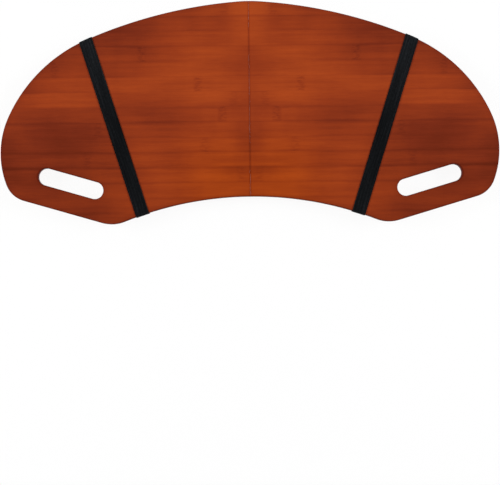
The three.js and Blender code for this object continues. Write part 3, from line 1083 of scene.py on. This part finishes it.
def stitch_tree():
    tree, given, result = geometry_tree("stitches", {
        "Pitch": "NodeSocketFloat", "Length": "NodeSocketFloat", "Thread radius": "NodeSocketFloat",
        "Material": "NodeSocketMaterial"})
    lines = put(tree, "GeometryNodeMeshToCurve", {0: given["Geometry"]})
    marks = put(tree, "GeometryNodeResampleCurve", {
        "Curve": lines.outputs[0], "Length": given["Pitch"]}, mode="LENGTH")
    half = calc(tree, "MULTIPLY", given["Length"], 0.5)
    dip = given["Thread radius"]
    bow = put(tree, "GeometryNodeCurveQuadraticBezier", {
        "Resolution": 6,
        "Start": vector_of(tree, calc(tree, "MULTIPLY", half, -1), 0.0, dip),
        "Middle": vector_of(tree, 0.0, 0.0, calc(tree, "MULTIPLY", dip, -BOW_RISE)),
        "End": vector_of(tree, half, 0.0, dip)})
    yarn = put(tree, "GeometryNodeCurvePrimitiveCircle", {
        "Resolution": 8, "Radius": given["Thread radius"]})
    stitch = put(tree, "GeometryNodeCurveToMesh", {
        "Curve": bow.outputs[0], "Profile Curve": yarn.outputs[0], "Fill Caps": True})
    heading = put(tree, "GeometryNodeInputTangent").outputs[0]
    turned = put(tree, "FunctionNodeAlignRotationToVector", {"Vector": heading}, axis="X", pivot_axis="Z")
    rows = put(tree, "GeometryNodeInstanceOnPoints", {
        "Points": marks.outputs[0], "Instance": stitch.outputs[0], "Rotation": turned.outputs[0]})
    end_tree(tree, given, result, rows.outputs[0])
    return tree


STITCHES = stitch_tree()
print("stitch tree of", len(STITCHES.nodes), "nodes")

# %% Sew both laps
SEAM_MARGIN = 2.7


def seam_lines(sign):
    """First and last stitch of each side of the sewn box and of its cross, on the lap's lower face."""
    half_across = STRAP_WIDTH / 2 - SEAM_MARGIN
    half_along = LAP_LENGTH / 2 - SEAM_MARGIN
    level = UNDERSIDE - (STRAP_FIT + 2 * STRAP_THICKNESS + LAP_PLY_GAP) * MM
    middle = STRAP_MIDDLE - LAP_FROM_MIDDLE * STRAP_ALONG
    corners = []
    for across, along in ((-1, -1), (1, -1), (1, 1), (-1, 1)):
        spot = middle + across * half_across * STRAP_ACROSS + along * half_along * STRAP_ALONG
        corners.append(Vector((sign * spot.x * MM, spot.y * MM, level)))
    places, edges = [], []
    for start, end in ((0, 1), (1, 2), (2, 3), (3, 0), (0, 2), (1, 3)):
        inset = (corners[end] - corners[start]).normalized() * STITCH_PITCH / 2 * MM
        edges.append((len(places), len(places) + 1))
        places += [corners[start] + inset, corners[end] - inset]
    return places, edges


for side, sign in SIDES.items():
    places, edges = seam_lines(sign)
    seam = grown_from(side + "_lap_stitches", places, edges, STITCHES, {
        "Pitch": STITCH_PITCH * MM, "Length": STITCH_LENGTH * MM,
        "Thread radius": THREAD_DIAMETER / 2 * MM, "Material": SEWING_THREAD})
    settle(seam, side + "_half", "sewing_thread", side + "_strap_thread")

# %% [markdown]
# ## Nickel and steel
# The hinges are plated steel with the faint hairlines of rolled strip, and the screws are brighter
# where they were turned. Both are metals, so their colour is the colour of the reflection. The
# hairlines come from the shared group and run along the hinge; they set how sharp the reflection
# is and give the plating a very slight relief.

# %% Metal materials
GLOSS_SPAN = (0.3, 0.9)
DULL_SHARE = 0.3
HAIRLINE_RELIEF = (0.15, 0.02 * MM)


def hairline_metal(name, bright, dull, low, high):
    material = blank_material(name)
    tree = material.node_tree
    place = put(tree, "ShaderNodeTexCoord").outputs["Object"]
    lines = use_group(tree, HAIRLINES, {"Vector": place, "Stretch": 60.0, "Fineness": 4000.0})
    spots = use_group(tree, FINE_VARIATION, {"Vector": place, "Scale": 350.0, "Low": 0.0, "High": 1.0})
    gloss = calc(tree, "MULTIPLY_ADD", spots, DULL_SHARE, lines)
    gloss = fade(tree, gloss, *GLOSS_SPAN, low, high)
    end_material(tree, mix_colours(tree, spots, bright, dull), gloss, lines, HAIRLINE_RELIEF, {
        "Metallic": 1.0})
    return material


NICKEL = hairline_metal(
    "nickel_hinge", bright=(0.64, 0.61, 0.57, 1), dull=(0.56, 0.53, 0.49, 1), low=0.14, high=0.30)
SCREW_STEEL = hairline_metal(
    "screw_steel", bright=(0.74, 0.72, 0.69, 1), dull=(0.64, 0.62, 0.59, 1), low=0.14, high=0.26)
print("metals:", NICKEL.name, SCREW_STEEL.name)

# %% [markdown]
# ## The hinge leaves: rolled knuckles
# A butt hinge leaf is stamped from strip and its tongues are rolled into knuckles, so a knuckle is
# not a plain tube: the strip curls round and stops just short of the flat, leaving a small seam. A
# tube joined on would lack that seam. Here the curl is drawn as a section and pushed along the pin.

# %% Section of a rolled knuckle
HINGE_LENGTH = 40
HINGE_PLACES = {"back_hinge": 54, "front_hinge": 60}
SEAM_LENGTH = (edge.points[0].y - edge.points[-1].y) * MM
AXIS_DROP = 3
BARREL_RADIUS = 2.75
BORE_RADIUS = 1.4
BARREL_ROOM = 3.15
LEAF_WIDTH = 12.5
LEAF_TOP = 2.9
LEAF_FACE = 1.7
LEAF_CORNER = 1.5
KNUCKLES = 4
KNUCKLE_GAP = 0.4
CURL_STOP = 30
CURL_ROOT = 62
FLAT_START = 1.4
ROUND_SIDES = 40
AXIS_HEIGHT = UNDERSIDE - AXIS_DROP * MM


def arc_points(centre, radius, first, last, steps):
    """Points on an arc in mm, from one angle to another in degrees."""
    angles = run_between(math.radians(first), math.radians(last), steps)
    return [(centre[0] + radius * math.cos(a), centre[1] + radius * math.sin(a)) for a in angles]


def curl_section():
    """The rolled tongue seen along the pin: (away from the pin, up), round the axis."""
    outer = arc_points((0, 0), BARREL_RADIUS, 90, 360 + CURL_STOP, ROUND_SIDES)
    inner = arc_points((0, 0), BORE_RADIUS, 360 + CURL_STOP, CURL_ROOT, ROUND_SIDES)
    return [(BARREL_ROOM, LEAF_TOP), *outer, *inner, (FLAT_START, LEAF_FACE), (BARREL_ROOM, LEAF_FACE)]


print("curl of", len(curl_section()), "points")

# %% [markdown]
# ## The hinge leaves: flat and holes
# The flat of the leaf has rounded outer corners and two countersunk holes. It is filled between its
# outline and the rims of the holes, on both faces, and the holes are joined through by cones. The
# curls are added where the leaf owns a knuckle, so the whole leaf is one closed shell. A very fine
# bevel then gives its edges the glint that a real stamped edge has.

# %% Outline of a leaf
SCREW_FROM_AXIS = (BARREL_ROOM + LEAF_WIDTH) / 2
SCREW_END_MARGIN = 7.5
SCREW_PLACES = (HINGE_LENGTH / 2 - SCREW_END_MARGIN, SCREW_END_MARGIN - HINGE_LENGTH / 2)
CORNER_STEPS = 8


def knuckle_spans(own_first):
    """Front and back end of each of the leaf's own knuckles, measured from the hinge's middle."""
    pitch = HINGE_LENGTH / KNUCKLES
    middles = [HINGE_LENGTH / 2 - (place + 0.5) * pitch for place in range(KNUCKLES)]
    own = middles[0 if own_first else 1::2]
    return [(middle - (pitch - KNUCKLE_GAP) / 2, middle + (pitch - KNUCKLE_GAP) / 2) for middle in own]


def leaf_outline(spans):
    half = HINGE_LENGTH / 2
    corner_x, corner_y = LEAF_WIDTH - LEAF_CORNER, half - LEAF_CORNER
    stops = sorted((stop for span in spans for stop in span), reverse=True)
    return [(BARREL_ROOM, -half),
            *arc_points((corner_x, -corner_y), LEAF_CORNER, -90, 0, CORNER_STEPS),
            *arc_points((corner_x, corner_y), LEAF_CORNER, 0, 90, CORNER_STEPS),
            (BARREL_ROOM, half),
            *[(BARREL_ROOM, stop) for stop in stops]]


print("leaf outline of", len(leaf_outline(knuckle_spans(True))), "points")

# %% Build a leaf
HOLE_AT_FACE = 2.85
HOLE_AT_TOP = 1.65
HOLE_SIDES = 32


def skin_rings(shape, rings):
    """Faces between rings of vertices in a row; a ring of a single vertex is a tip."""
    for one, two in zip(rings, rings[1:]):
        sides = max(len(one), len(two))
        for here in range(sides):
            there = (here + 1) % sides
            corners = [one[here % len(one)], one[there % len(one)]]
            corners += [two[there % len(two)], two[here % len(two)]]
            shape.faces.new(list(dict.fromkeys(corners)))


def leaf_shape(sign, hinge_y, own_first):
    shape = bmesh.new()

    def corner(x, y, z):
        return shape.verts.new((sign * x * MM, hinge_y + y * MM, AXIS_HEIGHT + z * MM))

    spans = knuckle_spans(own_first)
    outline = leaf_outline(spans)
    above = [corner(x, y, LEAF_TOP) for x, y in outline]
    below = [corner(x, y, LEAF_FACE) for x, y in outline]
    holes = {LEAF_TOP: [], LEAF_FACE: []}
    for place in SCREW_PLACES:
        for level, radius in ((LEAF_TOP, HOLE_AT_TOP), (LEAF_FACE, HOLE_AT_FACE)):
            rim = arc_points((SCREW_FROM_AXIS, place), radius, 0, 360, HOLE_SIDES)[:-1]
            holes[level].append([corner(x, y, level) for x, y in rim])
    fill_flat(shape, above, holes[LEAF_TOP])
    fill_flat(shape, below, holes[LEAF_FACE])
    for hole in zip(holes[LEAF_TOP], holes[LEAF_FACE]):
        skin_rings(shape, hole)
    curl = curl_section()[1:-1]
    for here in range(len(outline)):
        there = (here + 1) % len(outline)
        span = (outline[there][1], outline[here][1])
        if outline[here][0] == outline[there][0] == BARREL_ROOM and span in spans:
            ends = []
            for number in (here, there):
                rolled = [corner(x, outline[number][1], z) for x, z in curl]
                ends.append([above[number], *rolled, below[number]])
            join_rows(shape, ends, closed=False)
            for end in ends:
                shape.faces.new(end)
        else:
            shape.faces.new((above[here], above[there], below[there], below[here]))
    return shape


print("screw holes", 2 * HOLE_AT_TOP, "mm wide,", 2 * HOLE_AT_FACE, "mm at the face")

# %% Make the four leaves
LEAF_EASE = 0.1


def hinge_middle(name):
    """The hinge's place along the fold, from its inset at the back or front end of the seam."""
    inset = HINGE_PLACES[name] * MM
    return CROWN - inset if name == "back_hinge" else CROWN - SEAM_LENGTH + inset


for hinge in HINGE_PLACES:
    for side, sign in SIDES.items():
        name = hinge + "_" + side + "_leaf"
        shape = leaf_shape(sign, hinge_middle(hinge), own_first=side == "left")
        leaf = make_piece(name + "_rolled", shape, NICKEL)
        ease_edges(leaf, LEAF_EASE, segments=2, angle=50)
        settle(leaf, side + "_half", "nickel_hinge", name)

# %% [markdown]
# ## The hinge pins
# Each pin is a plain rod whose ends were hammered into small domes so that it cannot fall out. A
# cylinder would have sharp flat ends, so the pin is turned like work on a lathe: a short outline
# with a domed end is spun round the pin's axis.

# %% Turn the pins
PIN_RADIUS = 1.3
PIN_PROUD = 0.6
DOME_STEPS = 6


def turned_rings(shape, outline, to_place, sides):
    """Rings of vertices for an outline of (radius, way) turned round; a radius of 0 is one point."""
    rings = []
    for radius, way in outline:
        if radius == 0:
            rings.append([shape.verts.new(to_place(0, 0, way))])
        else:
            spots = arc_points((0, 0), radius, 0, 360, sides)[:-1]
            rings.append([shape.verts.new(to_place(x, y, way)) for x, y in spots])
    return rings


def pin_shape(hinge_y):
    half = HINGE_LENGTH / 2
    dome = [(PIN_RADIUS * math.cos(a), half + PIN_PROUD * math.sin(a))
            for a in run_between(0, math.pi / 2, DOME_STEPS)]
    dome[-1] = (0, half + PIN_PROUD)
    outline = [(radius, -way) for radius, way in reversed(dome)] + dome
    shape = bmesh.new()
    rings = turned_rings(shape, outline, lambda x, z, way: (
        x * MM, hinge_y + way * MM, AXIS_HEIGHT + z * MM), ROUND_SIDES)
    skin_rings(shape, rings)
    return shape


for hinge in HINGE_PLACES:
    pin = make_piece(hinge + "_domed_pin", pin_shape(hinge_middle(hinge)), NICKEL)
    settle(pin, "left_half", "nickel_hinge", hinge + "_pin")

# %% [markdown]
# ## The screws
# Eight small countersunk screws with cross recesses hold the leaves. One screw is modelled with its
# recess, its cone and a thread of ridges, and Geometry Nodes set a copy at each place with the cross
# turned by chance, as hand-driven screws are. Copying by hand would be as quick for eight, but
# the tree keeps one screw to edit and a seed that always turns them in the same way.

# %% Model one screw
HEAD_RADIUS = 2.7
HEAD_EASE = 0.12
SHANK_RADIUS = 1.4
CORE_RADIUS = 1.0
SCREW_LENGTH = 6.3
THREAD_START = 2.1
THREAD_PITCH = 0.7
THREAD_TURNS = 4
THREAD_TAPER = 0.12
THREAD_FLANK = 0.3
RECESS_REACH = 1.5
RECESS_HALF_WIDTH = 0.4
RECESS_DEPTH = 0.9
RECESS_TAPER = 0.55
SCREW_SIDES = 32


def cross_points(scale):
    arm, half = RECESS_REACH * scale, RECESS_HALF_WIDTH * scale
    quarter = [(arm, -half), (arm, half), (half, half)]
    points = []
    for turn in range(4):
        points += quarter
        quarter = [(-y, x) for x, y in quarter]
    return points


def screw_shape():
    """A screw with its head's face at the origin, its point upwards, in metres."""
    outline = [(HEAD_RADIUS - HEAD_EASE, 0), (HEAD_RADIUS, HEAD_EASE),
               (SHANK_RADIUS, HEAD_RADIUS - SHANK_RADIUS), (CORE_RADIUS, THREAD_START)]
    for turn in range(THREAD_TURNS):
        crest = THREAD_START + (turn + 0.5) * THREAD_PITCH
        slim = 1 - THREAD_TAPER * turn
        outline += [(SHANK_RADIUS * slim, crest), (CORE_RADIUS * slim, crest + THREAD_FLANK)]
    outline.append((0, SCREW_LENGTH))
    shape = bmesh.new()
    rings = turned_rings(shape, outline, lambda x, y, way: (x * MM, y * MM, way * MM), SCREW_SIDES)
    skin_rings(shape, rings)
    mouth = [shape.verts.new((x * MM, y * MM, 0)) for x, y in cross_points(1)]
    root = [shape.verts.new((x * MM, y * MM, RECESS_DEPTH * MM)) for x, y in cross_points(RECESS_TAPER)]
    fill_flat(shape, rings[0], [mouth])
    skin_rings(shape, [mouth, root])
    shape.faces.new(root)
    return shape


screw_pattern = make_piece("screw_pattern", screw_shape(), SCREW_STEEL)
print("screw of", len(screw_pattern.data.polygons), "faces")

# %% Tree of screws
SPIN_SEED = 7


def screw_tree():
    tree, given, result = geometry_tree("driven_screws", {
        "Screw": "NodeSocketObject", "Seed": "NodeSocketInt", "Material": "NodeSocketMaterial"})
    pattern = put(tree, "GeometryNodeObjectInfo", {"Object": given["Screw"], "As Instance": True})
    points = put(tree, "GeometryNodeMeshToPoints", {0: given["Geometry"]})
    spin = put(tree, "FunctionNodeRandomValue", {
        "Min": (0.0, 0.0, 0.0), "Max": (0.0, 0.0, 2 * math.pi), "Seed": given["Seed"]},
        data_type="FLOAT_VECTOR")
    driven = put(tree, "GeometryNodeInstanceOnPoints", {
        "Points": points.outputs[0], "Instance": pattern.outputs["Geometry"], "Rotation": spin.outputs[0]})
    end_tree(tree, given, result, driven.outputs[0])
    return tree


DRIVEN_SCREWS = screw_tree()
print("screw tree of", len(DRIVEN_SCREWS.nodes), "nodes")

# %% Drive the screws
for side, sign in SIDES.items():
    places, solids = [], []
    for hinge in HINGE_PLACES:
        for number, place in enumerate(SCREW_PLACES):
            y = hinge_middle(hinge) + place * MM
            places.append((sign * SCREW_FROM_AXIS * MM, y, AXIS_HEIGHT + LEAF_FACE * MM))
            solids.append(hinge + "_" + side + "_screw_" + str(number + 1))
    screws = grown_from(side + "_hinge_screws", places, [], DRIVEN_SCREWS, {
        "Screw": screw_pattern, "Seed": SPIN_SEED + sign, "Material": SCREW_STEEL})
    screws.data.set_sharp_from_angle(angle=SHARP_ANGLE)
    settle(screws, side + "_half", "screw_steel", *solids)
bpy.data.objects.remove(screw_pattern)
